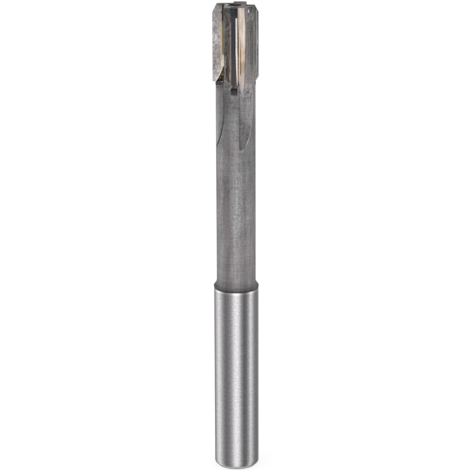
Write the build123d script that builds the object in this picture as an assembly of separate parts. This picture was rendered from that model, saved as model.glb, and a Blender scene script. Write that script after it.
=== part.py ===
from build123d import *
import math
import os

# Straight-fluted machine reamer with four brazed carbide tips, standing on its shank end.
# Millimetres. Z is the tool's axis, Z = 0 is the flat end of the shank, the cutting end is up.
# Every tooth is drawn in one place, on the +X side: X is its height above the axis and
# +Y is the way it cuts, counter-clockwise seen from above. The others are turned copies.

# Whole tool
overall_length = 128.0
tooth_count = 4

# Shank, ground bright up to a narrow black collar that the grinding left
shank_diameter = 12.0
shank_ground_length = 51.0
shank_end_chamfer = 0.85
collar_diameter = 12.2
collar_length = 0.6
collar_edge_fillet = 0.35
shoulder_length = 1.5
shoulder_root_fillet = 0.6

# Neck and head
neck_diameter = 10.5
cutting_diameter = 12.1
land_step = 0.3
head_chamfer_above_tip_end = 0.85
head_chamfer_length = 0.5

# Gullets, milled along the head and running out in the neck
gullet_floor_height = 2.95
gullet_floor_length = 27.9
gullet_cutter_radius = 25.0
gullet_wall_step = 0.46

# Carbide tips
tip_length = 20.2
tip_thickness = 1.62
tip_lip_depth = 0.1
face_offset = 0.47
margin_width = 0.42
relief_angle = 8.0
tip_foot_radius = 12.5
tip_foot_length = 7.2
heel_height = 1.0
heel_length = 1.35
ground_heel_tips = (3,)

# Lead on the cutting end, one flat for each tooth
lead_length = 1.9
lead_height = 1.05
lead_relief_angle = 3.0

# Seats of the tips and the braze that holds them
braze_gap = 0.15
seat_cutter_radius = 9.5
seat_floor_above_tip_end = 3.6
face_grinding_run = 0.2
braze_fill_above_tip_end = 4.4
bead_climb = 0.45
bead_spread = 1.93
bead_edge = 0.04
bead_tail_length = 6.4
bead_tail_width = 0.25
bead_tail_shift = 1.25

# Centre holes, 60 degree cones with a pilot bore
head_centre_mouth = 3.2
head_centre_pilot = 1.6
head_centre_depth = 4.0
shank_centre_mouth = 4.25
shank_centre_pilot = 2.0
shank_centre_depth = 5.0
centre_cone_angle = 60.0
drill_point_angle = 118.0

# How far the cutting volumes run past the metal
overrun = 1.0

# Worked out from the sizes above
shank_radius = shank_diameter / 2
collar_radius = collar_diameter / 2
neck_radius = neck_diameter / 2
cutting_radius = cutting_diameter / 2
land_radius = cutting_radius - land_step
reach = cutting_radius + overrun
top = overall_length
past_top = overall_length + overrun
tip_end = overall_length - tip_length
wall_offset = face_offset + gullet_wall_step
tip_foot = gullet_floor_height - tip_lip_depth
tip_back = face_offset - tip_thickness
seat_floor = tip_foot - braze_gap
seat_back = tip_back - braze_gap
seat_floor_end = tip_end + seat_floor_above_tip_end
braze_fill_end = tip_end + braze_fill_above_tip_end
head_start = tip_end + head_chamfer_above_tip_end
gullet_floor_end = overall_length - gullet_floor_length


def block(height_from, height_to, along_from, along_to, z_from, z_to):
    """A box in the tooth's own directions: height above the axis, along the cut, along the tool."""
    box = Box(
        height_to - height_from,
        along_to - along_from,
        z_to - z_from,
        align=(Align.MIN, Align.MIN, Align.MIN),
    )
    return Pos(height_from, along_from, z_from) * box


def side_profile(points_and_arc, along_from, along_to):
    """A closed outline of height and Z, pushed along the cutting direction."""
    plane = Plane.XZ.offset(-along_from)
    with BuildSketch(plane) as sketch:
        with BuildLine():
            points_and_arc()
        make_face()
    return extrude(sketch.sketch, amount=along_from - along_to)


def milled_slot(floor, floor_end, cutter_radius, along_from, along_to):
    """What a round cutter takes away: a flat floor that runs out in an arc of the cutter's radius."""
    rise = reach - floor
    run = math.sqrt(cutter_radius ** 2 - (cutter_radius - rise) ** 2)

    def outline():
        Line((floor, past_top), (floor, floor_end))
        TangentArc((floor, floor_end), (reach, floor_end - run), tangent=(0, -1))
        Line((reach, floor_end - run), (reach, past_top))
        Line((reach, past_top), (floor, past_top))

    return side_profile(outline, along_from, along_to)


def lead_cut():
    """The flat ground across the end of one tooth, leaning back behind the cutting edge."""
    flat_height = cutting_radius - lead_height
    slope = lead_height / lead_length
    low = top - (reach - flat_height) / slope

    def outline():
        Line((flat_height - slope * overrun, past_top), (reach, low))
        Line((reach, low), (reach, past_top))
        Line((reach, past_top), (flat_height - slope * overrun, past_top))

    wedge = side_profile(outline, -reach, reach)
    pivot = Pos(flat_height, face_offset, 0)
    return pivot * Rot(0, 0, -lead_relief_angle) * pivot.inverse() * wedge


def centre_hole(mouth, pilot, depth):
    """A centre hole that opens upwards at Z = 0."""
    cone_depth = (mouth - pilot) / 2 / math.tan(math.radians(centre_cone_angle / 2))
    point_depth = pilot / 2 / math.tan(math.radians(drill_point_angle / 2))
    with BuildSketch(Plane.XZ) as sketch:
        with BuildLine():
            Polyline(
                (0, 0),
                (mouth / 2, 0),
                (pilot / 2, -cone_depth),
                (pilot / 2, -depth),
                (0, -depth - point_depth),
                close=True,
            )
        make_face()
    return revolve(sketch.sketch, Axis.Z)


def turned_blank():
    """The tool as it comes off the lathe: shank, collar, shoulder, neck and head."""
    collar_end = shank_ground_length + collar_length
    shoulder_end = collar_end + shoulder_length
    with BuildSketch(Plane.XZ) as sketch:
        with BuildLine():
            outline = Polyline(
                (0, 0),
                (shank_radius - shank_end_chamfer, 0),
                (shank_radius, shank_end_chamfer),
                (shank_radius, shank_ground_length),
                (collar_radius, shank_ground_length + collar_radius - shank_radius),
                (collar_radius, collar_end),
                (neck_radius, shoulder_end),
                (neck_radius, head_start),
                (land_radius, head_start + head_chamfer_length),
                (land_radius, top),
                (0, top),
                close=True,
            )
        make_face()
        corners = sketch.vertices()
        edge = corners.sort_by_distance((collar_radius, 0, collar_end))[0]
        fillet(edge, collar_edge_fillet)
        root = sketch.vertices().sort_by_distance((neck_radius, 0, shoulder_end))[0]
        fillet(root, shoulder_root_fillet)
    return revolve(sketch.sketch, Axis.Z)


def gullet():
    """The open channel in front of one tooth, cut to an L by a flat floor and the tooth's own wall."""
    return milled_slot(gullet_floor_height, gullet_floor_end, gullet_cutter_radius, wall_offset, reach)


def seat():
    """The slot that the tip stands in, with its run-out below the tip."""
    return milled_slot(seat_floor, seat_floor_end, seat_cutter_radius, seat_back, face_offset)


def face_grinding():
    """The strip of wall taken away in front of the tip when its face was ground."""
    return block(
        gullet_floor_height,
        reach,
        face_offset,
        wall_offset + overrun,
        tip_end - face_grinding_run,
        past_top,
    )


def heel_cut():
    """The corner ground off the lower end of a tip, below its margin."""
    slope = heel_height / heel_length
    inner = cutting_radius - heel_height - slope * overrun
    outer = cutting_radius + slope * overrun
    low = tip_end - overrun
    high = tip_end + heel_length + overrun

    def outline():
        Line((inner, low), (outer, high))
        Line((outer, high), (outer, low))
        Line((outer, low), (inner, low))

    return side_profile(outline, -reach, reach)


def make_tip(number):
    """One carbide tip: flat face, narrow round margin, relief behind it and a rounded foot."""

    def outline():
        foot_rise = tip_foot_radius - math.sqrt(tip_foot_radius ** 2 - tip_foot_length ** 2)
        foot_corner = (tip_foot + foot_rise, tip_end)
        foot_top = (tip_foot, tip_end + tip_foot_length)
        Line((tip_foot, top), foot_top)
        TangentArc(foot_top, foot_corner, tangent=(0, -1))
        Line(foot_corner, (reach, tip_end))
        Line((reach, tip_end), (reach, top))
        Line((reach, top), (tip_foot, top))

    plate = side_profile(outline, tip_back, face_offset)
    plate = plate & Cylinder(cutting_radius, past_top, align=(Align.CENTER, Align.CENTER, Align.MIN))
    margin_end = face_offset - margin_width
    margin_height = math.sqrt(cutting_radius ** 2 - margin_end ** 2)
    relief = block(0, reach, -reach, 0, 0, past_top)
    plate = plate - Pos(margin_height, margin_end, 0) * Rot(0, 0, -relief_angle) * relief
    if number in ground_heel_tips:
        plate = plate - heel_cut()
    return plate - lead_cut()


def make_braze(tip):
    """The filler of one seat: a seam behind and under the tip, and a bead along the foot of its face."""
    seam = seat() & turned_blank() & block(0, reach, seat_back, face_offset, tip_end, top)
    open_foot = block(0, reach, tip_back, face_offset, tip_end - overrun, braze_fill_end)
    seam = seam - open_foot - tip - lead_cut()

    def bead_section(z, along, climb, spread):
        with BuildSketch(Plane.XY.offset(z)) as sketch:
            with BuildLine():
                foot = (gullet_floor_height, along)
                crest = (gullet_floor_height + climb, along)
                rim = (gullet_floor_height + bead_edge, along + spread)
                Line(foot, crest)
                Spline(crest, rim, tangents=((-1, 0.35), (0, 1)))
                Line(rim, (gullet_floor_height, along + spread))
                Line((gullet_floor_height, along + spread), foot)
            make_face()
        return sketch.sketch

    full = bead_section(braze_fill_end, face_offset, bead_climb, bead_spread)
    tail = bead_section(
        braze_fill_end - bead_tail_length,
        face_offset + bead_tail_shift,
        2 * bead_edge,
        bead_tail_width,
    )
    bead = extrude(full, amount=top - braze_fill_end) + loft([tail.face(), full.face()])
    return seam + bead


def make_body():
    """The steel tool body, one piece from shank to cutting end."""
    steel = turned_blank()
    cuts = [gullet(), seat(), face_grinding(), lead_cut()]
    for number in range(tooth_count):
        turn = Rot(0, 0, 360 / tooth_count * number)
        for cut in cuts:
            steel = steel - turn * cut
    steel = steel - Pos(0, 0, top) * centre_hole(head_centre_mouth, head_centre_pilot, head_centre_depth)
    shank_centre = centre_hole(shank_centre_mouth, shank_centre_pilot, shank_centre_depth)
    return steel - Rot(180, 0, 0) * shank_centre


os.makedirs("parts", exist_ok=True)
export_step(make_body(), "parts/body.step")
for number in range(1, tooth_count + 1):
    # Tip 1 stands at the left, at -X, and the numbers follow the way the tool turns
    turn = Rot(0, 0, 180 + 360 / tooth_count * (number - 1))
    tip = make_tip(number)
    export_step(turn * tip, f"parts/carbide_tip_{number}.step")
    export_step(turn * make_braze(tip), f"parts/braze_{number}.step")
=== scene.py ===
import math

import bmesh
import bpy
from mathutils import Matrix, Vector, noise


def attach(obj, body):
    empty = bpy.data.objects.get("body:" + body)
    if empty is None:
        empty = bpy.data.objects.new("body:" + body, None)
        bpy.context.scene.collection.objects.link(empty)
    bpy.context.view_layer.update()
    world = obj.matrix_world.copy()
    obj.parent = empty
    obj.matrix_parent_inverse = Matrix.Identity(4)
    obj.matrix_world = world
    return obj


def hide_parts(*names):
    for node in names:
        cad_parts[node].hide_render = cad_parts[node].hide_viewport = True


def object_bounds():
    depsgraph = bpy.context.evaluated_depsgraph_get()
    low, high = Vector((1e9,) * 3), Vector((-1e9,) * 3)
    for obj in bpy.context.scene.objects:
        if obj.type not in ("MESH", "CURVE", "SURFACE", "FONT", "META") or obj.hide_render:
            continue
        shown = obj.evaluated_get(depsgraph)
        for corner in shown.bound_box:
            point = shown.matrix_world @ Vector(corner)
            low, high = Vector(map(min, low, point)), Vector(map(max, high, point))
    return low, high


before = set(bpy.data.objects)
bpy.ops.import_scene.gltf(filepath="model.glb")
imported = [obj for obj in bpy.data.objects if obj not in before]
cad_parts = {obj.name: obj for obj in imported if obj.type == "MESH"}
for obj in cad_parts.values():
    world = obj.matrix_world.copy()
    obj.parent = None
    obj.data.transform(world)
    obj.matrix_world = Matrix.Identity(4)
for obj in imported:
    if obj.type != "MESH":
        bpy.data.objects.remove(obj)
cad_low, cad_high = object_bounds()

# One millimetre in metres. All sizes and places below are in millimetres
MM = 0.001

# Sizes of the tool, as the solids have them, apart from the collar and shoulder, which are rounder here
TEETH = 4
LENGTH = cad_high.z / MM
SHANK_RADIUS = 6.0
SHANK_GROUND = 51.0
END_CHAMFER = 0.85
COLLAR_RADIUS = 6.085
COLLAR_ROUNDING = 0.45
SHOULDER_END = 53.3
NECK_RADIUS = 5.25
CUTTING_RADIUS = 6.05
LAND_RADIUS = 5.75
TIP_LENGTH = 20.2
TIP_END = LENGTH - TIP_LENGTH
HEAD_START = TIP_END + 0.85
HEAD_FULL = HEAD_START + 0.5
GULLET_FLOOR = 2.95
GULLET_FLOOR_END = LENGTH - 27.9
GULLET_CUTTER = 25.0
GULLET_WALL = 0.93
GULLET_CORNER = 0.32
FACE = 0.47
TIP_FOOT = 2.85
TIP_BACK = FACE - 1.62
TIP_FOOT_RADIUS = 12.5
TIP_FOOT_LENGTH = 7.2
MARGIN_END = FACE - 0.42
RELIEF = math.radians(8.0)
HEEL_HEIGHT = 1.0
HEEL_LENGTH = 1.35
GROUND_HEEL_TIPS = (3,)
SEAT_FLOOR = 2.7
SEAT_BACK = TIP_BACK - 0.15
SEAT_FLOOR_END = TIP_END + 3.6
SEAT_CUTTER = 9.5
FACE_GRINDING_END = TIP_END - 0.2
BRAZE_FILL_END = TIP_END + 4.4
LEAD_LENGTH = 1.9
LEAD_HEIGHT = 1.05
LEAD_FLAT = CUTTING_RADIUS - LEAD_HEIGHT
LEAD_RELIEF = math.radians(3.0)

# Centre holes: radius of the mouth, radius of the pilot bore, depth
HEAD_CENTRE = (1.6, 0.8, 4.0)
SHANK_CENTRE = (2.125, 1.0, 5.0)

# How far cutting volumes run past the metal
OVERRUN = 1.0
REACH = CUTTING_RADIUS + OVERRUN
PAST_TOP = LENGTH + OVERRUN

# Corners round the turned body, and round a centre hole
ROUND, HOLE_ROUND = 192, 48

# The bead of braze by its distance above the tip's end: how high it climbs up the face, and where its
# inner and outer edges lie. It runs on below the tip as a thin tail
BEAD_LOW = -2.5
BEAD_CLIMB = [(BEAD_LOW, 0.02), (0.0, 0.05), (3.8, 0.06), (4.4, 0.4), (6.0, 0.45)]
BEAD_INNER = [(BEAD_LOW, 1.45), (-1.6, 1.1), (-0.9, 0.6), (-0.5, FACE)]
BEAD_RIM = [
    (BEAD_LOW, 1.75),
    (-1.2, 2.18),
    (1.0, 2.28),
    (4.0, 2.31),
    (7.0, 2.43),
    (9.5, 2.55),
    (15.5, 2.5),
    (18.5, 2.34),
]


# Meshes

def mesh_object(name, corners, faces):
    """A new piece from corners in millimetres."""
    mesh = bpy.data.meshes.new(name)
    mesh.from_pydata([(x * MM, y * MM, z * MM) for x, y, z in corners], [], faces)
    mesh.validate()
    piece = bpy.data.objects.new(name, mesh)
    bpy.context.collection.objects.link(piece)
    return piece


def turn_outward(piece):
    """Makes all faces of a closed mesh face outwards."""
    shape = bmesh.new()
    shape.from_mesh(piece.data)
    bmesh.ops.recalc_face_normals(shape, faces=shape.faces)
    shape.to_mesh(piece.data)
    shape.free()


def lathe(name, outline, segments):
    """A turned solid: outline is (radius, z) from the axis at the bottom to the axis at the top."""
    corners = [(0, 0, outline[0][1])]
    faces = []
    rings = outline[1:-1]
    for radius, z in rings:
        for step in range(segments):
            angle = 2 * math.pi * step / segments
            corners.append((radius * math.cos(angle), radius * math.sin(angle), z))
    corners.append((0, 0, outline[-1][1]))
    last = len(corners) - 1
    for step in range(segments):
        after = (step + 1) % segments
        faces.append((0, 1 + after, 1 + step))
        for ring in range(len(rings) - 1):
            low = 1 + ring * segments
            high = low + segments
            faces.append((low + step, low + after, high + after, high + step))
        high = 1 + (len(rings) - 1) * segments
        faces.append((high + step, high + after, last))
    return mesh_object(name, corners, faces)


def skinned(name, rings):
    """A closed solid through rings that all have the same number of corners."""
    count = len(rings[0])
    top = count * (len(rings) - 1)
    faces = [tuple(range(count))[::-1], tuple(range(top, top + count))]
    for first in range(0, top, count):
        second = first + count
        for step in range(count):
            after = (step + 1) % count
            faces.append((first + step, first + after, second + after, second + step))
    piece = mesh_object(name, [corner for ring in rings for corner in ring], faces)
    turn_outward(piece)
    return piece


def layered(name, layers, place):
    """A solid through closed outlines (outline, depth), each corner put in space by place(a, b, depth)."""
    return skinned(name, [[place(a, b, depth) for a, b in outline] for outline, depth in layers])


def prism(name, outline, low, high, place):
    """A closed outline pushed from low to high."""
    return layered(name, [(outline, low), (outline, high)], place)


def across(height, z, along):
    """Places a side outline of (height, z), pushed along the cutting direction."""
    return (height, along, z)


def upward(height, along, z):
    """Places a cross-section of (height, along), pushed along the tool."""
    return (height, along, z)


def turned(piece, angle):
    """Turns a piece about the tool's axis."""
    piece.data.transform(Matrix.Rotation(angle, 4, "Z"))
    return piece


def join(pieces):
    """Joins meshes into the first one."""
    shape = bmesh.new()
    for piece in pieces:
        shape.from_mesh(piece.data)
    shape.to_mesh(pieces[0].data)
    shape.free()
    for piece in pieces[1:]:
        bpy.data.objects.remove(piece)
    return pieces[0]


def each_tooth(make):
    """One turned copy of a cut for each tooth, joined."""
    return join([turned(make(), 2 * math.pi * tooth / TEETH) for tooth in range(TEETH)])


def settle(piece):
    """Applies the modifiers of a piece."""
    bpy.context.view_layer.update()
    seen = bpy.context.evaluated_depsgraph_get()
    mesh = bpy.data.meshes.new_from_object(piece.evaluated_get(seen))
    piece.modifiers.clear()
    piece.data = mesh


def carve(piece, tool, operation="DIFFERENCE"):
    """Cuts a tool out of a piece, or keeps what they share, and deletes the tool."""
    step = piece.modifiers.new("carve", "BOOLEAN")
    step.operation = operation
    step.solver = "EXACT"
    step.object = tool
    settle(piece)
    bpy.data.objects.remove(tool)


def smooth(piece, angle):
    """Shades a piece smooth, apart from edges sharper than an angle in degrees."""
    piece.data.shade_smooth()
    piece.data.set_sharp_from_angle(angle=math.radians(angle))


def soften_edges(piece, width, segments=2):
    """Rounds the edges sharper than 35 degrees."""
    angle = 35
    step = piece.modifiers.new("edges", "BEVEL")
    step.width = width * MM
    step.segments = segments
    step.limit_method = "ANGLE"
    step.angle_limit = math.radians(angle)
    step.use_clamp_overlap = True
    step.harden_normals = False
    settle(piece)
    smooth(piece, angle)


def arc(centre, radius, start, end, steps):
    """Points of an arc in a plane, start and end in degrees."""
    points = []
    for step in range(steps + 1):
        angle = math.radians(start + (end - start) * step / steps)
        points.append((centre[0] + radius * math.cos(angle), centre[1] + radius * math.sin(angle)))
    return points


def between(value, stops):
    """Straight lines through (position, level) stops."""
    if value <= stops[0][0]:
        return stops[0][1]
    for (low, first), (high, second) in zip(stops, stops[1:]):
        if value <= high:
            return first + (second - first) * (value - low) / (high - low)
    return stops[-1][1]


# The tool's forms. A tooth is made at +X: its height is X, and it cuts towards +Y

def slot(name, floor, floor_end, cutter, low, high, corner=0.0):
    """What a round cutter takes away, with its arc where it runs out and a rounded corner at low."""
    steps = 24

    def outline(lift):
        radius = cutter - lift
        sweep = math.degrees(math.acos((floor + cutter - REACH) / radius))
        run_out = arc((floor + cutter, floor_end), radius, 180, 180 + sweep, steps)
        return [(floor + lift, PAST_TOP)] + run_out + [(REACH, PAST_TOP)]

    layers = []
    if corner:
        for angle in range(0, 90, 15):
            turn = math.radians(angle)
            layers.append((outline(corner * (1 - math.sin(turn))), low + corner * (1 - math.cos(turn))))
    layers.append((outline(0.0), low + corner))
    layers.append((outline(0.0), high))
    return layered(name, layers, across)


def lead_wedge():
    """What the lead grinding takes off the end of a tooth."""
    slope = LEAD_HEIGHT / LEAD_LENGTH
    low = LENGTH - (REACH - LEAD_FLAT) / slope
    outline = [(LEAD_FLAT - slope * OVERRUN, PAST_TOP), (REACH, low), (REACH, PAST_TOP)]
    behind, ahead = -4.2, 2.0
    wedge = prism("lead", outline, behind, ahead, across)
    pivot = Matrix.Translation((LEAD_FLAT * MM, FACE * MM, 0))
    wedge.data.transform(pivot @ Matrix.Rotation(-LEAD_RELIEF, 4, "Z") @ pivot.inverted())
    return wedge


def centre_hole(sizes, end, up):
    """A 60 degree centre hole in one end of the tool."""
    mouth, pilot, depth = sizes
    cone = (mouth - pilot) * math.sqrt(3)
    point = pilot * 0.6
    past = 0.2
    outline = [
        (0, end - up * (depth + point)),
        (pilot, end - up * depth),
        (pilot, end - up * cone),
        (mouth, end),
        (mouth, end + up * past),
        (0, end + up * past),
    ]
    hole = lathe("centre_hole", outline, HOLE_ROUND)
    turn_outward(hole)
    return hole


def body_outline():
    """Radius and height of the turned blank, from the shank's end up."""
    edge = 0.12
    groove = 0.05
    outline = [(0, 0), (SHANK_RADIUS - END_CHAMFER, 0)]
    outline += [(SHANK_RADIUS - edge, END_CHAMFER - edge), (SHANK_RADIUS, END_CHAMFER + edge)]
    steps = 48
    for step in range(1, steps):
        outline.append((SHANK_RADIUS, END_CHAMFER + (SHANK_GROUND - 2 * END_CHAMFER) * step / steps))
    outline += [
        (SHANK_RADIUS, SHANK_GROUND - 0.35),
        (SHANK_RADIUS - groove, SHANK_GROUND - 0.08),
        (SHANK_RADIUS - groove, SHANK_GROUND),
    ]
    collar_middle = (COLLAR_RADIUS - COLLAR_ROUNDING, SHANK_GROUND + 0.42)
    outline += arc(collar_middle, COLLAR_ROUNDING, -65, 35, 10)
    radius, z = outline[-1]
    steps = 12
    for step in range(1, steps + 1):
        part = step / steps
        hollow = 1 - (1 - part) ** 2.0
        outline.append((radius + (NECK_RADIUS - radius) * hollow, z + (SHOULDER_END - z) * part))
    steps = 40
    for step in range(1, steps + 1):
        outline.append((NECK_RADIUS, SHOULDER_END + (HEAD_START - SHOULDER_END) * step / steps))
    return outline + [(LAND_RADIUS, HEAD_FULL), (LAND_RADIUS, LENGTH), (0, LENGTH)]


def gullet():
    """The open channel in front of a tooth."""
    return slot("gullet", GULLET_FLOOR, GULLET_FLOOR_END, GULLET_CUTTER, GULLET_WALL, REACH, GULLET_CORNER)


def seat():
    """The slot that a tip stands in."""
    return slot("seat", SEAT_FLOOR, SEAT_FLOOR_END, SEAT_CUTTER, SEAT_BACK, FACE)


def face_grinding():
    """The strip of the gullet's wall that went when the tip's face was ground."""
    outline = [
        (GULLET_FLOOR, FACE_GRINDING_END),
        (REACH, FACE_GRINDING_END),
        (REACH, PAST_TOP),
        (GULLET_FLOOR, PAST_TOP),
    ]
    return prism("grinding", outline, FACE - 0.01, GULLET_WALL + 0.2, across)


def make_body():
    """The turned blank with all its cuts."""
    body = lathe("steel_body", body_outline(), ROUND)
    for cut in (gullet, seat, face_grinding, lead_wedge):
        carve(body, each_tooth(cut))
    carve(body, centre_hole(HEAD_CENTRE, LENGTH, 1))
    carve(body, centre_hole(SHANK_CENTRE, 0.0, -1))
    soften_edges(body, 0.04)
    return body


def tip_outline():
    """A tip from the side, as (height, z), with its rounded foot."""
    foot = (TIP_FOOT + TIP_FOOT_RADIUS, TIP_END + TIP_FOOT_LENGTH)
    sweep = math.degrees(math.asin(TIP_FOOT_LENGTH / TIP_FOOT_RADIUS))
    outline = [(TIP_FOOT, PAST_TOP)] + arc(foot, TIP_FOOT_RADIUS, 180, 180 + sweep, 16)
    return outline + [(REACH, TIP_END), (REACH, PAST_TOP)]


def tip_section():
    """A tip from above, as (height, along): face, round margin and relief."""
    front = math.degrees(math.asin(FACE / CUTTING_RADIUS))
    rear = math.degrees(math.asin(MARGIN_END / CUTTING_RADIUS))
    margin = arc((0, 0), CUTTING_RADIUS, front, rear, 6)
    height, along = margin[-1]
    ahead = FACE + OVERRUN
    back = TIP_BACK - OVERRUN
    section = [(0, ahead), (margin[0][0], ahead)] + margin
    return section + [(height - math.tan(RELIEF) * (along - back), back), (0, back)]


def heel():
    """The corner ground off the lower end of a tip."""
    widen = OVERRUN * HEEL_HEIGHT / HEEL_LENGTH
    outline = [
        (CUTTING_RADIUS - HEEL_HEIGHT - widen, TIP_END - OVERRUN),
        (CUTTING_RADIUS + widen, TIP_END - OVERRUN),
        (CUTTING_RADIUS + widen, TIP_END + HEEL_LENGTH + OVERRUN),
    ]
    return prism("heel", outline, -3.0, 3.0, across)


def make_tip(number):
    """One carbide tip in the first tooth's place."""
    tip = prism("tip", tip_outline(), TIP_BACK, FACE, across)
    carve(tip, prism("section", tip_section(), TIP_END - OVERRUN, LENGTH, upward), "INTERSECT")
    carve(tip, lead_wedge())
    if number in GROUND_HEEL_TIPS:
        carve(tip, heel())
    soften_edges(tip, 0.02, segments=1)
    tip.name = f"tip_{number}"
    return tip


def make_seam():
    """The filler behind and under a tip, in the first tooth's place."""
    seam = slot("seam", SEAT_FLOOR, SEAT_FLOOR_END, SEAT_CUTTER, SEAT_BACK, FACE - 0.02)
    blank = [(0, TIP_END), (NECK_RADIUS, TIP_END), (NECK_RADIUS, HEAD_START), (LAND_RADIUS, HEAD_FULL)]
    blank += [(LAND_RADIUS, LENGTH), (0, LENGTH)]
    carve(seam, lathe("blank", blank, ROUND), "INTERSECT")
    low = TIP_END - OVERRUN
    ahead = FACE + OVERRUN
    open_foot = [(0, low), (REACH, low), (REACH, BRAZE_FILL_END), (0, BRAZE_FILL_END)]
    carve(seam, prism("open_foot", open_foot, TIP_BACK, ahead, across))
    carve(seam, prism("tip_room", tip_outline(), TIP_BACK, ahead, across))
    carve(seam, lead_wedge())
    return seam


def lumps(seed, pattern, first, second):
    """A smooth random height in -1..1 over two distances. Each pattern number gives another one."""
    return noise.noise(seed + Vector((first, pattern, second)))


def make_bead(number):
    """The uneven film of braze along the foot of a tip's face, in the first tooth's place."""
    rows, columns = 170, 22
    low, high = TIP_END + BEAD_LOW, LENGTH - 0.32
    wave_length, ripple_length = 2.6, 0.9
    lump_width, lump_length = 0.5, 1.4
    thickness, unevenness = 0.06, 0.03
    hollow = 0.17
    sunk = GULLET_FLOOR - 0.03
    seed = Vector((3.7 * number, 1.3, 0))
    rings = []
    for row in range(rows + 1):
        z = low + (high - low) * row / rows
        above = z - TIP_END
        wave = lumps(seed, 0, 0, z / wave_length)
        ripple = lumps(seed, 0, 5, z / ripple_length)
        climb = between(above, BEAD_CLIMB) * (1 + 0.14 * wave + 0.08 * ripple)
        rim = between(above, BEAD_RIM) * (1 + 0.02 * wave + 0.02 * ripple)
        inner = max(between(above, BEAD_INNER), FACE)
        ring = []
        for column in range(columns):
            part = column / (columns - 1)
            along = inner + (rim - inner) * part ** 1.25
            lump = lumps(seed, 3, along / lump_width, z / lump_length)
            height = climb * math.exp((inner - along) / hollow)
            height += (thickness + unevenness * lump) * (1 - part ** 6)
            ring.append((GULLET_FLOOR + height, along, z))
        hidden = inner - 0.02
        ring += [(sunk, rim, z), (sunk, hidden, z), (GULLET_FLOOR + climb, hidden, z)]
        rings.append(ring)
    bead = skinned(f"bead_{number}", rings)
    smooth(bead, 60)
    return bead


def make_crust(number):
    """Flux that hangs below the end of a tip, in the first tooth's place."""
    rows, columns = 44, 22
    first, last = SEAT_BACK + 0.02, FACE + 0.15
    inner = 3.2
    buried = TIP_END + 0.02
    wave_length, ripple_length = 0.55, 0.2
    lump_length, lump_height = 0.3, 0.35
    seed = Vector((1.9 * number, 7.7, 2.0))
    rings = []
    for row in range(rows + 1):
        along = first + (last - first) * row / rows
        wave = lumps(seed, 0, along / wave_length, 0)
        ripple = lumps(seed, 4, along / ripple_length, 0)
        outer = math.sqrt((NECK_RADIUS + 0.06 + 0.07 * wave) ** 2 - along ** 2)
        ring = []
        for column in range(columns):
            height = inner + (outer - inner) * column / (columns - 1)
            lump = lumps(seed, 9, along / lump_length, height / lump_height)
            hang = 0.8 + 0.25 * wave + 0.16 * ripple + 0.18 * lump
            ring.append((height, along, TIP_END - hang))
        ring += [(outer - 0.05, along, buried), (inner, along, buried)]
        rings.append(ring)
    crust = skinned(f"crust_{number}", rings)
    smooth(crust, 50)
    return crust


# Materials

def plug(tree, target, value):
    """Links a field to a socket, or sets the socket to a plain number or colour."""
    if isinstance(value, Field):
        tree.links.new(value.socket, target)
    elif isinstance(value, tuple):
        target.default_value = (*value, 1)
    else:
        target.default_value = value


def as_colour(value):
    """A number stands for a shade of grey."""
    return (value, value, value) if isinstance(value, (int, float)) else value


def add(tree, kind, **inputs):
    """A new node, with values for its sockets by name, where _ stands for a space."""
    node = tree.nodes.new(kind)
    for name, value in inputs.items():
        node.inputs[name.replace("_", " ")].default_value = value
    return node


def blend(tree, kind, mask, first, second):
    """The first colour where the mask is 0; where it is 1, the second, or for MULTIPLY their product."""
    node = add(tree, "ShaderNodeMix")
    node.data_type = "RGBA"
    node.blend_type = kind
    plug(tree, node.inputs[0], mask)
    plug(tree, node.inputs[6], as_colour(first))
    plug(tree, node.inputs[7], as_colour(second))
    return Field(tree, node.outputs[2])


class Field:
    """A number or colour that changes over a surface, with plain arithmetic."""

    def __init__(self, tree, socket):
        self.tree = tree
        self.socket = socket

    def calculate(self, operation, *values):
        node = add(self.tree, "ShaderNodeMath")
        node.operation = operation
        for target, value in zip(node.inputs, (self, *values)):
            plug(self.tree, target, value)
        return Field(self.tree, node.outputs[0])

    def __add__(self, other):
        return self.calculate("ADD", other)

    def __sub__(self, other):
        return self.calculate("SUBTRACT", other)

    def __rsub__(self, other):
        return self.calculate("MULTIPLY_ADD", -1.0, other)

    def __mul__(self, other):
        return self.calculate("MULTIPLY", other)

    def __abs__(self):
        return self.calculate("ABSOLUTE")

    def larger(self, other):
        return self.calculate("MAXIMUM", other)

    def smaller(self, other):
        return self.calculate("MINIMUM", other)

    def root(self):
        return self.calculate("SQRT")

    def window(self, low, high, start=0.0, end=1.0):
        """Maps low..high to start..end, clamped. Low may be the larger one, for a falling mask."""
        node = add(self.tree, "ShaderNodeMapRange")
        for target, value in zip(node.inputs, (self, low, high, start, end)):
            plug(self.tree, target, value)
        return Field(self.tree, node.outputs[0])

    def spread(self, start, end):
        """Maps the usual range of a noise to start..end."""
        return self.window(0.3, 0.7, start, end)

    def band(self, low, high, soft):
        """1 between low and high, falling to 0 over the distance soft outside them."""
        return self.window(low - soft, low) * self.window(high + soft, high)

    def ramp(self, stops):
        """Colours through (position, colour) stops."""
        node = add(self.tree, "ShaderNodeValToRGB")
        elements = node.color_ramp.elements
        while len(elements) < len(stops):
            elements.new(0.5)
        for element, (position, colour) in zip(elements, stops):
            element.position = position
            element.color = (*as_colour(colour), 1)
        plug(self.tree, node.inputs[0], self)
        return Field(self.tree, node.outputs[0])

    def choose(self, first, second):
        """The first colour where this mask is 0, the second where it is 1."""
        return blend(self.tree, "MIX", self, first, second)


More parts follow.
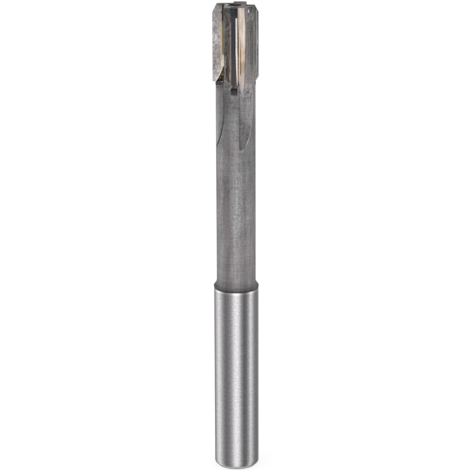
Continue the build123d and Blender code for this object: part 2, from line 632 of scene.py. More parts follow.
class Finish:
    """A node material of the tool, with places on it as fields and its colour, built up in steps."""

    def __init__(self, name):
        self.material = bpy.data.materials.new(name)
        self.material.use_nodes = True
        self.tree = self.material.node_tree
        self.tree.nodes.clear()
        output = add(self.tree, "ShaderNodeOutputMaterial")
        self.shader = add(self.tree, "ShaderNodeBsdfPrincipled")
        self.tree.links.new(self.shader.outputs[0], output.inputs[0])
        metres = add(self.tree, "ShaderNodeTexCoord").outputs["Object"]
        scale = add(self.tree, "ShaderNodeVectorMath")
        scale.operation = "SCALE"
        scale.inputs["Scale"].default_value = 1 / MM
        self.tree.links.new(metres, scale.inputs[0])
        self.place = scale.outputs[0]
        split = add(self.tree, "ShaderNodeSeparateXYZ")
        self.tree.links.new(self.place, split.inputs[0])
        self.x, self.y, self.z = (Field(self.tree, socket) for socket in split.outputs)
        self.colour = None

    @property
    def above(self):
        """Height above the lower end of the tips."""
        return self.z - TIP_END

    @property
    def radius(self):
        """Distance from the tool's axis."""
        return (self.x * self.x + self.y * self.y).root()

    @property
    def outward(self):
        """The larger of the distances from the planes between the teeth."""
        return abs(self.x).larger(abs(self.y))

    @property
    def aside(self):
        """The smaller of the distances from the planes between the teeth."""
        return abs(self.x).smaller(abs(self.y))

    @property
    def swap(self):
        """How much larger X is than Y in front of the teeth at +X and -X, and 0 in front of the others."""
        return (self.x * self.y).calculate("GREATER_THAN", 0.0) * (abs(self.x) - abs(self.y))

    @property
    def height(self):
        """Height above the axis, in the quarter in front of each tooth."""
        return self.swap + abs(self.y)

    @property
    def along(self):
        """Distance along the cut, in the quarter in front of each tooth."""
        return abs(self.x) - self.swap

    @property
    def above_floor(self):
        """Height above the gullet's floor, also along its run-out."""
        drop = (GULLET_FLOOR_END - self.z).larger(0.0)
        square = (GULLET_CUTTER ** 2 - drop * drop).larger(0.0)
        rise = GULLET_CUTTER - square.root()
        return self.height - rise - GULLET_FLOOR

    def noise(self, across, along=None, detail=3, roughness=0.5, distortion=0.0):
        """Noise in 0..1, in cycles per millimetre across the tool and along it."""
        stretch = add(self.tree, "ShaderNodeMapping", Scale=(across, across, along or across))
        self.tree.links.new(self.place, stretch.inputs["Vector"])
        texture = {"Scale": 1.0, "Detail": detail, "Roughness": roughness, "Distortion": distortion}
        node = add(self.tree, "ShaderNodeTexNoise", **texture)
        self.tree.links.new(stretch.outputs[0], node.inputs["Vector"])
        return Field(self.tree, node.outputs["Fac"])

    def spot(self, first, second, centre, size):
        """1 inside an ellipse in the plane of two fields, falling to 0 at one and a half times its size."""
        across = (first - centre[0]) * (1 / size[0])
        up = (second - centre[1]) * (1 / size[1])
        return (across * across + up * up).root().window(1.5, 1.0)

    def wear_and_highlight(self, edge):
        """Where an edge of a gullet in the neck is rubbed bright, with gaps: partly wear, partly a painted
        highlight where the edge catches the light.
        """
        place = self.along.window(2.3, 3.3, 0.2, 1.0) * self.above.window(-0.8, -2.5)
        return edge * place * self.noise(0.4, 0.33).window(0.38, 0.54, 0.35, 1.0)

    def mix(self, mask, colour):
        """Another colour where the mask is 1."""
        self.colour = blend(self.tree, "MIX", mask, self.colour, colour)

    def tint(self, mask, shade):
        """The colour times a shade where the mask is 1."""
        self.colour = blend(self.tree, "MULTIPLY", mask, self.colour, shade)

    def done(self, roughness, metallic, relief=None, depth=0.0, strength=0.0):
        """Sets the shader, with fine relief of a depth, and returns the material."""
        plug(self.tree, self.shader.inputs["Base Color"], self.colour)
        plug(self.tree, self.shader.inputs["Roughness"], roughness)
        plug(self.tree, self.shader.inputs["Metallic"], metallic)
        if relief:
            node = add(self.tree, "ShaderNodeBump", Strength=strength, Distance=depth * MM)
            self.tree.links.new(relief.socket, node.inputs["Height"])
            self.tree.links.new(node.outputs[0], self.shader.inputs["Normal"])
        return self.material


def ground_steel():
    """The shank, ground bright round its axis."""
    finish = Finish("ground_steel")
    rings = finish.noise(0.03, 2.6, roughness=0.6)
    ticks = finish.noise(1.5, 2.6, roughness=0.6)
    tone = rings * 0.3 + ticks * 0.7
    finish.colour = tone.ramp([(0.39, (0.564, 0.551, 0.566)), (0.61, (0.696, 0.681, 0.698))])
    # Painted shade: the shank darker towards its lower right
    shaded_low_right = finish.x.window(2.5, 4.0) * finish.z.window(30.0, 3.0)
    finish.tint(shaded_low_right, 0.88)
    # Painted highlight: a light line along the chamfer at the shank's end
    chamfer_highlight = finish.z.band(0.55, 0.8, 0.15)
    finish.mix(chamfer_highlight * 0.15, (0.95, 0.94, 0.95))
    # Painted highlight: a bright line on the groove just below the collar
    under_collar_highlight = finish.z.band(SHANK_GROUND - 0.5, SHANK_GROUND - 0.12, 0.1)
    finish.mix(under_collar_highlight * 0.7, (0.98, 0.97, 0.98))
    return finish.done(rings * 0.06 + 0.14, 1.0, rings, 0.002, 0.4)


# Painted shade on the collar and above it, darkest at the collar's lower edge, by height above the ground
# shank in units of 5 mm
COLLAR_SHADE = [
    (0.0, 0.85),
    (0.12, 0.8),
    (0.2, 0.66),
    (0.3, 0.42),
    (0.4, 0.25),
    (0.55, 0.13),
    (0.8, 0.08),
    (1.0, 0.04),
]


def black_skin():
    """The dark heat-treated skin of collar and neck."""
    finish = Finish("black_skin")
    above = finish.above
    grain = finish.noise(2.6, detail=5, roughness=0.65)
    rings = finish.noise(0.05, 3.6, roughness=0.6)
    clouds = finish.noise(0.42, 0.16, detail=4, roughness=0.6)
    streaks = finish.noise(1.5, 0.09, detail=2)
    coarse = finish.z.window(59.0, 67.0, 0.2, 0.36)
    tone = (grain - 0.5) * coarse + rings * 0.2 + clouds * 0.25 + streaks * 0.19 + 0.18
    dark, medium, light = (0.225, 0.215, 0.217), (0.38, 0.365, 0.369), (0.575, 0.556, 0.56)
    finish.colour = tone.ramp([(0.38, dark), (0.5, medium), (0.63, light)])
    hue = finish.noise(0.33, 0.06, detail=2).window(0.42, 0.58)
    warm, cool = (1.025, 0.992, 0.997), (0.98, 1.003, 1.001)
    finish.tint(1.0, hue.choose(warm, cool))

    specks = finish.noise(2.9, detail=1).window(0.6, 0.7)
    patches = finish.noise(0.5, 0.06, detail=2).window(0.5, 0.62, 0.0, 0.8)
    rubbed = finish.spot(finish.x, finish.z, (0.9, 77.0), (0.9, 7.0)) * finish.y.window(-3.0, -4.0)
    rubbed = patches.larger(rubbed) * finish.z.window(61.0, 67.0, 0.2, 1.0)
    finish.mix(specks * rubbed * 0.8, (0.9, 0.88, 0.88))

    # Painted shade on and above the collar, darkest at its lower edge
    soot_and_shade = ((finish.z - SHANK_GROUND) * 0.2).ramp(COLLAR_SHADE)
    finish.tint(soot_and_shade, (0.13, 0.125, 0.127))
    # Painted highlight: the right of the collar's edge brightened into a bright arc
    right = finish.x.window(4.2, 5.0)
    finish.tint(right * soot_and_shade, 1.5)
    finish.tint(right * above.window(-22.0, -28.0), 1.14)
    upper = above.window(-22.0, -7.0) * finish.x.window(4.4, 4.1)
    finish.tint(upper, 0.76)
    middle = above.window(-38.0, -26.0)
    finish.tint(middle, 0.93)
    # Painted sheen: the neck lighter beside the gullet
    sheen_beside_gullet = finish.x.window(4.2, 4.6) * above.window(-11.0, -6.0)
    finish.tint(sheen_beside_gullet, 1.45)
    left = finish.x.window(-1.2, -2.2) * above.window(-18.0, -24.0)
    finish.tint(left, 0.87)

    # The neck's edge at the gullet rubbed bright: partly wear, partly a painted highlight
    wear_and_highlight = finish.wear_and_highlight(finish.above_floor.band(-0.05, 0.06, 0.06))
    left_edge = finish.x.window(-2.0, -2.5)
    upper_part = finish.z.window(GULLET_FLOOR_END - 5.0, GULLET_FLOOR_END - 2.0)
    wear_and_highlight = wear_and_highlight * (1.0 - left_edge * upper_part)
    finish.mix(wear_and_highlight * 0.5, (0.92, 0.9, 0.9))

    spatter = finish.noise(1.3, 1.6, detail=4, roughness=0.7)
    stain = spatter.window(0.5, 0.62) * above.band(-6.0, -1.5, 3.0)
    finish.tint(stain, (0.6, 0.57, 0.57))
    dots = spatter.window(0.42, 0.36) * above.window(-3.4, -1.0)
    finish.mix(dots * 0.7, (0.8, 0.78, 0.76))
    return finish.done(grain.spread(0.58, 0.42), 0.85, grain, 0.02, 0.6)


def milled_wall():
    """The gullets' side walls, with painted shade along the deep corner and soot beside the tips."""
    finish = Finish("milled_wall")
    above = finish.above
    grain = finish.noise(2.4, 1.2, detail=4, roughness=0.6)
    clouds = finish.noise(0.7, 0.3)
    tone = grain * 0.5 + clouds * 0.5
    finish.colour = tone.ramp([(0.32, (0.2, 0.193, 0.196)), (0.68, (0.36, 0.35, 0.353))])
    outer = finish.height.window(4.1, 5.1)
    finish.mix(outer * 0.5, (0.6, 0.585, 0.58))
    upper = above.window(-11.0, -6.0)
    finish.tint(upper, (0.84, 0.835, 0.83))
    # Painted shade in the deep corner beside the floor
    corner = finish.above_floor.window(0.42, 0.12)
    finish.tint(corner, (0.3, 0.29, 0.29))
    soot_and_shade = (above + clouds * 2.0).window(-0.2, 1.0)
    finish.tint(soot_and_shade, (0.3, 0.28, 0.27))
    spatter = finish.noise(1.7, roughness=0.7)
    dark = spatter.window(0.52, 0.46) * above.window(-2.6, -1.0)
    finish.tint(dark, (0.2, 0.19, 0.19))
    light = spatter.window(0.58, 0.64) * above.window(-0.7, -0.4)
    finish.mix(light, (0.7, 0.68, 0.64))
    return finish.done(grain.spread(0.55, 0.42), 0.85, tone, 0.015, 0.5)


def milled_floor():
    """The gullets' flat floors, milled lengthways, with spatter below the tips."""
    finish = Finish("milled_floor")
    above, along = finish.above, finish.along
    marks = finish.noise(2.3, 0.11, detail=4, roughness=0.6)
    grain = finish.noise(2.4, detail=4, roughness=0.6)
    patches = finish.noise(1.1, 0.11, roughness=0.6)
    tone = (marks * 0.45 + grain * 0.55) * 0.8 + patches * 0.2
    finish.colour = tone.ramp([(0.36, (0.1, 0.092, 0.092)), (0.64, (0.31, 0.286, 0.284))])
    low = above.window(6.0, 0.5)
    finish.tint(low, (1.46, 1.43, 1.46))
    outer = along.band(3.9, 4.7, 0.3) * above.window(1.5, 5.0)
    finish.tint(outer, (0.76, 0.76, 0.74))
    below = above.band(-3.0, -0.5, 1.0)
    finish.tint(below, 1.42)
    neck_part = above.window(1.0, -3.0)
    finish.tint(neck_part, (1.05, 1.12, 1.12))
    # Painted sheen: a lighter strip along the floor below the tips
    painted_sheen_strip = along.window(2.5, 3.1) * above.band(-9.5, -5.0, 2.0)
    finish.tint(painted_sheen_strip, 1.3)
    feed = finish.noise(0.15, 2.3, detail=2).window(0.42, 0.62)
    finish.tint(neck_part * feed, 0.9)
    run_out = finish.z.window(GULLET_FLOOR_END + 4.5, GULLET_FLOOR_END - 8.0)
    finish.tint(run_out, 0.56)

    neck_edge = finish.radius.window(NECK_RADIUS - 0.14, NECK_RADIUS - 0.06)
    # The neck's edge of the floor rubbed bright: partly wear, partly a painted highlight
    finish.mix(finish.wear_and_highlight(neck_edge) * 0.5, (0.9, 0.88, 0.88))
    head_edge = finish.radius.window(LAND_RADIUS - 0.32, LAND_RADIUS - 0.16) * above.window(0.5, 1.5)
    finish.mix(head_edge * 0.7, (0.36, 0.365, 0.35))
    glint = finish.spot(along, finish.z, (3.42, LENGTH - 1.15), (0.1, 0.36))
    finish.mix(glint, 0.95)

    smears = finish.noise(1.0, 0.33, distortion=0.8)
    smeared = along.window(2.9, 3.5) * finish.z.window(LENGTH - 8.0, LENGTH - 2.5)
    dull = smears.window(0.5, 0.42) * smeared
    finish.tint(dull, (0.5, 0.5, 0.49))
    shiny = smears.window(0.53, 0.62) * smeared
    finish.mix(shiny * 0.75, (0.5, 0.5, 0.49))

    spatter = finish.noise(1.5, 2.3, roughness=0.7)
    below_tip = above.band(-4.0, -1.8, 1.2)
    dark = spatter.window(0.5, 0.42) * below_tip
    finish.tint(dark, (0.5, 0.48, 0.48))
    light = spatter.window(0.6, 0.68) * below_tip
    finish.mix(light * 0.6, (0.6, 0.57, 0.56))
    return finish.done(grain.spread(0.5, 0.38), 0.9, tone, 0.02, 0.5)


def land_steel():
    """The steel back of each tooth, brown-black from the brazing."""
    finish = Finish("land_steel")
    above, aside = finish.above, finish.aside
    streaks = finish.noise(1.8, 0.16, detail=4, roughness=0.6)
    grain = finish.noise(2.6, 1.5)
    tone = streaks * 0.6 + grain * 0.4
    finish.colour = tone.ramp([(0.4, (0.022, 0.019, 0.018)), (0.6, (0.175, 0.16, 0.148))])
    burnt = aside.band(1.6, 2.2, 0.15) * finish.x.window(2.0, 1.0)
    finish.tint(burnt, (1.13, 0.97, 0.95))
    heel_side = aside.window(2.25, 2.45)
    finish.tint(heel_side, (1.85, 2.05, 2.08))
    lower_half = above.window(9.5, 6.0)
    finish.tint(lower_half, (1.6, 1.55, 1.52))
    foot = above.window(1.8, 0.8)
    finish.tint(foot, (1.35, 1.33, 1.32))
    flecks = finish.noise(1.7, 1.3, roughness=0.7).window(0.52, 0.62)
    flecks = flecks * above.window(10.0, 15.0) * finish.x.window(0.5, -0.5)
    finish.mix(flecks * 0.6, (0.3, 0.31, 0.29))
    seam = aside.band(1.28, 1.5, 0.1) * above.window(TIP_LENGTH - 3.0, TIP_LENGTH - 4.0)
    finish.mix(seam * 0.5, (0.36, 0.3, 0.285))
    right = finish.x.window(3.0, 4.0)
    finish.tint(right, (1.3, 1.34, 1.28))
    film = aside.band(1.3, 2.05, 0.08) * right * above.window(0.6, 1.4)
    finish.mix(film, (0.85, 0.84, 0.8))
    run = finish.spot(aside, above, (1.5, 2.2), (0.13, 1.1))
    finish.mix(run, (0.5, 0.44, 0.36))
    drip = finish.spot(aside, above, (1.78, 0.9), (0.12, 1.1))
    finish.mix(drip, (0.015, 0.013, 0.012))
    return finish.done(grain.spread(0.5, 0.36), 0.85, tone, 0.02, 0.6)


def lead_steel():
    """The lead flats where they pass over steel, dark beside the tip."""
    finish = Finish("lead_steel")
    grain = finish.noise(2.6, detail=4, roughness=0.7)
    dark, medium, light = (0.015, 0.017, 0.018), (0.06, 0.06, 0.058), (0.3, 0.3, 0.28)
    finish.colour = grain.ramp([(0.35, dark), (0.52, medium), (0.7, light)])
    beside_tip = ((LENGTH - finish.z) * 0.29 + finish.aside).window(1.85, 1.7)
    finish.mix(beside_tip, (0.014, 0.018, 0.022))
    return finish.done(grain.spread(0.55, 0.4), 0.6, grain, 0.03, 0.8)


def seat_steel():
    """The run-outs of the seats, black with soot."""
    finish = Finish("seat_steel")
    grain = finish.noise(2.4, 0.9, detail=4, roughness=0.6)
    finish.colour = grain.ramp([(0.38, (0.055, 0.051, 0.051)), (0.62, (0.125, 0.118, 0.118))])
    return finish.done(0.55, 0.7)


# Patches on the end face, partly flux and soot, partly painted highlights and painted shade: middle, half
# size and colour
END_FLUX_AND_PAINTED_LIGHT = [
    ((-2.5, 0.2), (0.6, 1.1), (0.5, 0.56, 0.5)),
    ((-1.4, -3.0), (1.7, 0.6), (0.52, 0.55, 0.5)),
    ((3.8, -0.6), (0.9, 1.2), (0.04, 0.03, 0.03)),
    ((2.3, -0.6), (0.5, 1.3), (0.34, 0.29, 0.3)),
    ((1.3, 2.9), (1.5, 0.8), (0.26, 0.22, 0.23)),
    ((-0.5, 2.9), (0.6, 0.9), (0.012, 0.01, 0.01)),
]


def end_steel():
    """The end face, patchy from the brazing, with painted highlights and shade in patches and painted shade
    in the centre hole.
    """
    finish = Finish("end_steel")
    patches = finish.noise(0.7, detail=4, roughness=0.7, distortion=0.6)
    stops = [
        (0.36, (0.05, 0.04, 0.04)),
        (0.48, (0.16, 0.145, 0.145)),
        (0.56, (0.3, 0.29, 0.28)),
        (0.66, (0.62, 0.66, 0.6)),
    ]
    finish.colour = patches.ramp(stops)
    mottle = finish.noise(1.3).window(0.42, 0.56, 0.3, 0.95)
    for centre, size, shade in END_FLUX_AND_PAINTED_LIGHT:
        finish.mix(finish.spot(finish.x, finish.y, centre, size) * mottle, shade)
    # Painted shade inside the centre hole
    hole = finish.radius.window(1.75, 1.5)
    finish.tint(hole, (0.1, 0.06, 0.06))
    return finish.done(patches.spread(0.6, 0.4), 0.6, patches, 0.05, 0.8)


# Darker and lighter bands across a tip's face: low, high, how soft, and shade
TIP_BANDS = [
    (4.0, 8.8, 1.5, (0.78, 0.75, 0.75)),
    (9.8, 12.0, 1.2, (1.1, 1.1, 1.12)),
    (13.2, 17.0, 1.0, (0.85, 0.84, 0.85)),
]


def carbide_face():
    """A tip's ground face, with a film of braze and flux at its foot."""
    finish = Finish("carbide_face")
    above, outward = finish.above, finish.outward
    grain = finish.noise(3.0, detail=5, roughness=0.7)
    cloud = finish.noise(1.2, 0.7)
    tone = grain * 0.62 + cloud * 0.38
    dark, medium, light = (0.255, 0.23, 0.235), (0.465, 0.432, 0.437), (0.8, 0.75, 0.75)
    finish.colour = tone.ramp([(0.38, dark), (0.5, medium), (0.63, light)])
    hue = finish.noise(0.42, 0.26, detail=2).window(0.42, 0.58)
    finish.tint(hue, (0.88, 0.9, 0.87))
    top = finish.z.window(LENGTH - 4.0, LENGTH - 1.0)
    finish.tint(top, (0.62, 0.64, 0.63))
    low = above.window(3.5, 1.0)
    finish.tint(low, (1.1, 1.16, 1.14))
    for start, end, soft, shade in TIP_BANDS:
        finish.tint(above.band(start, end, soft), shade)

    edge = cloud * 0.5 + outward
    film = edge.window(4.35, 3.95) * above.window(TIP_LENGTH - 2.0, TIP_LENGTH - 4.5)
    finish.mix(film * 0.75, (0.66, 0.58, 0.47))
    amber = (cloud * 0.15 + outward).window(3.68, 3.58) * above.window(6.9, 7.5)
    spotty = finish.noise(0.9, 0.7).ramp([(0.4, (0.19, 0.135, 0.06)), (0.6, (0.28, 0.185, 0.065))])
    finish.mix(amber, spotty)
    black = edge.window(4.1, 3.45) * above.window(TIP_LENGTH - 5.0, TIP_LENGTH - 3.8)
    finish.mix(black, (0.045, 0.033, 0.033))
    slant = (above - 4.9).larger(0.0) * 0.14 + edge
    cream = slant.window(4.05, 3.9) * above.band(4.3, 7.0, 0.3)
    finish.mix(cream, (1.0, 0.95, 0.78))

    rise = above - TIP_FOOT_LENGTH
    reach = outward - (TIP_FOOT + TIP_FOOT_RADIUS)
    from_foot = TIP_FOOT_RADIUS - (rise * rise + reach * reach).root()
    foot_line = from_foot.window(0.32, 0.18) * above.window(5.2, 4.4) * above.window(0.05, 0.4)
    finish.mix(foot_line, (0.88, 0.83, 0.7))
    back = finish.aside.window(0.9, 1.0)
    finish.tint(back, 0.6)
    metallic = cream.window(0.0, 1.0, 0.9, 0.5)
    return finish.done(grain.spread(0.5, 0.34), metallic, grain, 0.01, 0.5)


def carbide_relief():
    """The ground-back strip behind the margin, painted dark blue-grey as shade."""
    finish = Finish("carbide_relief")
    lines = finish.noise(2.5, 0.06)
    finish.colour = lines.ramp([(0.3, (0.012, 0.017, 0.022)), (0.7, (0.042, 0.05, 0.058))])
    low = finish.above.window(10.0, 4.0)
    finish.mix(low * 0.8, (0.07, 0.055, 0.055))
    return finish.done(lines.spread(0.4, 0.3), 0.7)


def carbide_lead():
    """The lead flat on a tip, painted nearly black as shade."""
    finish = Finish("carbide_lead")
    grain = finish.noise(2.5)
    finish.colour = grain.ramp([(0.3, (0.006, 0.009, 0.011)), (0.7, (0.024, 0.03, 0.034))])
    return finish.done(grain.spread(0.45, 0.35), 0.6)


def carbide_margin():
    """The bright round margin behind the cutting edge, narrower towards the foot."""
    finish = Finish("carbide_margin")
    above = finish.above
    lines = finish.noise(0.3, 1.5, detail=2)
    finish.colour = lines.ramp([(0.3, (0.55, 0.5, 0.47)), (0.7, (0.7, 0.65, 0.61))])
    lower_half = above.band(2.0, 8.0, 2.5)
    finish.tint(lower_half, (1.15, 1.16, 1.16))
    taper = above.window(9.0, 6.0, 0.05, 0.15) + above.window(5.0, 0.5, 0.0, 0.18)
    edge = (finish.aside - taper).window(0.04, -0.04)
    finish.mix(edge, (0.06, 0.055, 0.057))
    top = finish.z.window(LENGTH - 2.55, LENGTH - 2.3)
    finish.mix(top, (0.03, 0.035, 0.04))
    return finish.done(lines.spread(0.14, 0.22), 1.0)


def braze_metal():
    """Cream and gold filler, with painted brown shade along the tip's face, and burnt dark below the tip.
    """
    finish = Finish("braze_metal")
    above = finish.above
    streaks = finish.noise(2.6, 0.11, detail=4, roughness=0.6)
    patches = finish.noise(0.9, 0.32, detail=4, roughness=0.6)
    stops = [
        (0.36, (0.62, 0.48, 0.37)),
        (0.46, (0.79, 0.67, 0.56)),
        (0.56, (0.88, 0.78, 0.69)),
        (0.68, (0.95, 0.89, 0.83)),
    ]
    finish.colour = (streaks * 0.62 + patches * 0.38).ramp(stops)
    gold = above.band(3.0, 8.0, 3.0)
    finish.tint(gold, (0.88, 0.78, 0.7))
    deep = above.band(2.9, 5.4, 0.8)
    finish.tint(deep, (0.76, 0.73, 0.7))
    finish.tint(above.window(15.0, 17.0), 0.93)

    # Distance along the cut, with the wavering of the lines along the bead
    wander = finish.noise(0.04, 0.42, detail=2) * 0.16 + finish.along + above.window(12.5, 17.5, 0.0, 0.25)
    tail = (wander.window(1.4, 1.8) * -1.6 + above).window(2.0, 0.6)
    finish.mix(tail * 0.8, (0.68, 0.58, 0.545))
    furrow = finish.noise(2.2, 0.15).window(0.5, 0.62)
    finish.tint(tail * furrow, (0.7, 0.68, 0.68))
    line = wander.band(1.29, 1.5, 0.05) * above.window(TIP_LENGTH - 7.0, TIP_LENGTH - 12.0)
    finish.mix(line * above.window(1.5, 2.5), (0.26, 0.125, 0.055))
    finish.tint(line * above.band(2.8, 5.4, 0.8), (0.66, 0.62, 0.56))
    clear = wander.band(1.05, 1.22, 0.05) * above.band(2.0, 10.0, 1.5)
    finish.mix(clear * 0.7, (1.0, 0.87, 0.75))
    # Painted shade: brown on the steep foot of the fillet along the tip's face, which faces away from the
    # light
    brown = wander.window(1.0, 0.9)
    finish.mix(brown, (0.19, 0.125, 0.07))
    pale = wander.window(0.78, 0.73) * above.window(8.5, 7.0)
    finish.mix(pale, (0.78, 0.66, 0.52))

    left = finish.x.window(-2.0, -2.4) * wander.window(1.4, 1.1)
    finish.mix(left * brown, (0.4, 0.29, 0.165))
    black = brown.larger(left) * above.window(TIP_LENGTH - 5.0, TIP_LENGTH - 3.8)
    finish.mix(black, (0.05, 0.038, 0.034))
    thin = left * above.window(7.1, 7.5) * above.window(TIP_LENGTH - 3.8, TIP_LENGTH - 5.0)
    finish.mix(thin * wander.window(0.7, 0.9), (0.27, 0.195, 0.11))
    ragged = finish.noise(1.6, 0.35, detail=2) * 3.6 + above - 1.8
    finish.mix(left * ragged.band(4.0, 6.8, 0.4), (1.0, 0.97, 0.84))
    burnt = above.window(-0.2, -1.6)
    finish.mix(burnt * 0.55, (0.55, 0.5, 0.5))
    return finish.done(patches.spread(0.5, 0.36), 0.75, streaks, 0.012, 0.6)


def seam_metal():
    """The filler behind and under the tips, black with soot round the open foot."""
    finish = Finish("seam_metal")
    grain = finish.noise(2.4, 1.4, detail=4, roughness=0.7)
    finish.colour = grain.ramp([(0.35, (0.16, 0.13, 0.12)), (0.65, (0.46, 0.4, 0.37))])
    specks = finish.noise(2.6, 2.0, detail=2).window(0.52, 0.62)
    burnt = specks.choose((0.035, 0.03, 0.024), (0.5, 0.38, 0.2))
    open_foot = finish.z.window(BRAZE_FILL_END + 0.1, BRAZE_FILL_END)
    inner = finish.radius.window(5.45, 5.35)
    finish.mix(open_foot * inner, burnt)
    near_end = finish.z.window(LENGTH - 4.2, LENGTH - 3.0)
    finish.tint(near_end, (0.2, 0.19, 0.19))
    return finish.done(grain.spread(0.55, 0.4), 0.75, grain, 0.02, 0.6)


def flux_crust():
    """Dark flux with black and white specks."""
    finish = Finish("flux_crust")
    grain = finish.noise(2.1, detail=4, roughness=0.75)
    stops = [
        (0.41, (0.011, 0.01, 0.009)),
        (0.495, (0.08, 0.073, 0.07)),
        (0.57, (0.17, 0.16, 0.155)),
        (0.635, (0.85, 0.82, 0.76)),
    ]
    finish.colour = grain.ramp(stops)
    return finish.done(0.5, 0.4, grain, 0.04, 0.8)


# Pieces

STEEL = {
    "shank": ground_steel(),
    "skin": black_skin(),
    "wall": milled_wall(),
    "floor": milled_floor(),
    "land": land_steel(),
    "lead": lead_steel(),
    "seat": seat_steel(),
    "end": end_steel(),
}
CARBIDE = {
    "face": carbide_face(),
    "relief": carbide_relief(),
    "margin": carbide_margin(),
    "lead": carbide_lead(),
}
FILLER = {
    "seam": seam_metal(),
    "bead": braze_metal(),
    "crust": flux_crust(),
}


def steel_kind(middle, normal):
    """Which finish a face of the body has, from its place and the way it faces."""
    close, touching = 0.1, 0.02
    radius = math.hypot(middle.x, middle.y)
    if middle.z < SHANK_GROUND + 0.03:
        return "shank"
    if radius < 2.0:
        return "end"
    if normal.z > 0.95:
        return "end" if middle.z > LENGTH - 0.5 else "seat"
    if radius > NECK_RADIUS - touching and middle.z < HEAD_START:
        return "skin"
    if middle.z > LENGTH - 3.2 and normal.z > 0.25 and radius > 3.5:
        return "lead"
    if radius > LAND_RADIUS - touching or (radius > NECK_RADIUS and normal.z < -0.3):
        return "land"
    flat = Vector((normal.x, normal.y, 0)).normalized()
    cutting = Vector((-flat.y, flat.x, 0))
    if min(abs(flat.x), abs(flat.y)) < 0.2:
        height = middle.dot(flat)
        along = middle.dot(cutting)
        if height > SEAT_FLOOR - close:
            return "floor" if along > FACE + close else "seat"
        return "wall" if abs(height - GULLET_WALL) < close else "seat"
    outward = Vector((middle.x, middle.y, 0)).normalized()
    return "floor" if flat.dot(outward) > 0.6 else "wall"


def tip_kind(middle, normal):
    """Which finish a face of a tip has."""
    if normal.x > 0.5 and normal.z > 0.3:
        return "lead"
    if normal.x > 0.7:
        return "margin" if middle.y > MARGIN_END else "relief"
    return "face"


def dress(piece, finishes, kind):
    """Gives each face of a piece the finish that kind(middle, normal) names."""
    for material in finishes.values():
        piece.data.materials.append(material)
    names = list(finishes)
    for face in piece.data.polygons:
        face.material_index = names.index(kind(face.center / MM, face.normal))


def make_filler(number):
    """All the braze and flux of one tip, in the first tooth's place."""
    parts = {"seam": make_seam(), "bead": make_bead(number), "crust": make_crust(number)}
    for name, part in parts.items():
        dress(part, FILLER, lambda middle, normal, name=name: name)
    filler = join(list(parts.values()))
    filler.name = f"filler_{number}"
    return filler


body = make_body()
dress(body, STEEL, steel_kind)
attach(body, "root")
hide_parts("body")

for number in range(1, TEETH + 1):
    # Tip 1 stands at the left, at -X, and the numbers follow the way the tool turns
    place = math.pi + 2 * math.pi * (number - 1) / TEETH
    tip = make_tip(number)
    dress(tip, CARBIDE, tip_kind)
    turned(tip, place)
    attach(tip, "root")
    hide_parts(f"carbide_tip_{number}")

    filler = make_filler(number)
    turned(filler, place)
    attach(filler, "root")
    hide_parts(f"braze_{number}")


# Stage

def make_floor():
    """A plain pale floor, as bright as the background, that the tool's steel doesn't mirror."""
    size = 6000.0
    corners = [(-size, -size, 0), (size, -size, 0), (size, size, 0), (-size, size, 0)]
    floor = mesh_object("floor", corners, [(0, 1, 2, 3)])
    material = bpy.data.materials.new("floor_white")
    material.use_nodes = True
    shader = material.node_tree.nodes["Principled BSDF"]
    shader.inputs["Base Color"].default_value = (0.22, 0.22, 0.22, 1)
    shader.inputs["Emission Color"].default_value = (1, 1, 1, 1)
    shader.inputs["Emission Strength"].default_value = 0.79
    shader.inputs["Roughness"].default_value = 0.9
    shader.inputs["Specular IOR Level"].default_value = 0.1
    floor.data.materials.append(material)
    floor.visible_glossy = False


# Brightness of the tent round the tool by direction, in degrees from the camera's side towards +X
TENT = [
    (-180, 0.3), (-142, 0.34), (-122, 0.85), (-106, 1.15),
    (-96, 1.02), (-80, 0.52), (-62, 0.22), (-44, 0.26),
    (-26, 0.5), (-10, 1.2), (0, 1.36), (10, 1.2),
    (24, 0.45), (38, 0.17), (52, 0.2), (66, 0.52),
    (78, 1.15), (88, 0.85), (102, 0.4), (122, 0.24),
    (142, 0.3), (180, 0.3),
]

# Brightness of the tent by height, from straight down at 0 to straight up at 1
TENT_HEIGHT = [(0.0, 0.85), (0.2, 0.9), (0.33, 1.0), (0.62, 1.0), (0.85, 1.3)]

# The tent's even brightness towards the ground, and where it starts and is full, with -1 straight down
TENT_BELOW = 0.55
BELOW_START, BELOW_FULL = -0.65, -0.85


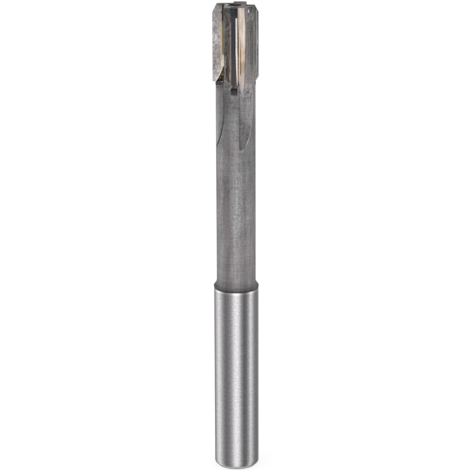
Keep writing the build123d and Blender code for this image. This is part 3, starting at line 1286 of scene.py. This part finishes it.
def make_world():
    """An even white studio, in which metal mirrors a tent of light and dark strips."""
    world = bpy.data.worlds.new("tent")
    bpy.context.scene.world = world
    world.use_nodes = True
    tree = world.node_tree
    tree.nodes.clear()
    direction = add(tree, "ShaderNodeTexCoord")
    split = add(tree, "ShaderNodeSeparateXYZ")
    tree.links.new(direction.outputs["Generated"], split.inputs[0])
    x, y, z = (Field(tree, socket) for socket in split.outputs)

    angle = x.calculate("ARCTAN2", y * -1.0)
    stops = [((degrees + 180) / 360, level) for degrees, level in TENT]
    around = (angle * (0.5 / math.pi) + 0.5).ramp(stops)
    by_height = (z * 0.5 + 0.5).ramp(TENT_HEIGHT)
    below = z.window(BELOW_START, BELOW_FULL)
    tent = blend(tree, "MULTIPLY", 1.0, around, by_height)
    tent = blend(tree, "MIX", below, tent, TENT_BELOW)

    mirrored = add(tree, "ShaderNodeBackground")
    plug(tree, mirrored.inputs["Color"], tent)
    plain = add(tree, "ShaderNodeBackground", Color=(1, 1, 1, 1))
    chosen = add(tree, "ShaderNodeMixShader")
    paths = add(tree, "ShaderNodeLightPath")
    tree.links.new(paths.outputs["Is Glossy Ray"], chosen.inputs[0])
    tree.links.new(plain.outputs[0], chosen.inputs[1])
    tree.links.new(mirrored.outputs[0], chosen.inputs[2])
    output = add(tree, "ShaderNodeOutputWorld")
    tree.links.new(chosen.outputs[0], output.inputs[0])


def make_sun():
    """A weak, soft sun from the upper left, on the camera's side."""
    light = bpy.data.lights.new("soft_sun", "SUN")
    light.energy = 0.35
    light.angle = math.radians(60)
    lamp = bpy.data.objects.new("soft_sun", light)
    lamp.rotation_euler = (math.radians(28), math.radians(-22), 0)
    bpy.context.collection.objects.link(lamp)


def make_camera():
    """The camera as worked out from the tool's outline in the photograph."""
    data = bpy.data.cameras.new("camera")
    data.sensor_width = 36.0
    data.lens = 169.31
    data.clip_start = 0.01
    camera = bpy.data.objects.new("camera", data)
    distance, height = 567.75, 235.15
    camera.location = (0, -distance * MM, height * MM)
    pitch, yaw, roll = math.radians(16.633), math.radians(0.0306), math.radians(-0.2)
    turn = Matrix.Rotation(yaw, 4, "Z") @ Matrix.Rotation(math.pi / 2 - pitch, 4, "X")
    turn = turn @ Matrix.Rotation(roll, 4, "Z")
    camera.rotation_euler = turn.to_euler()
    bpy.context.collection.objects.link(camera)
    bpy.context.scene.camera = camera


make_floor()
make_world()
make_sun()
make_camera()
bpy.context.scene.view_settings.view_transform = "Standard"
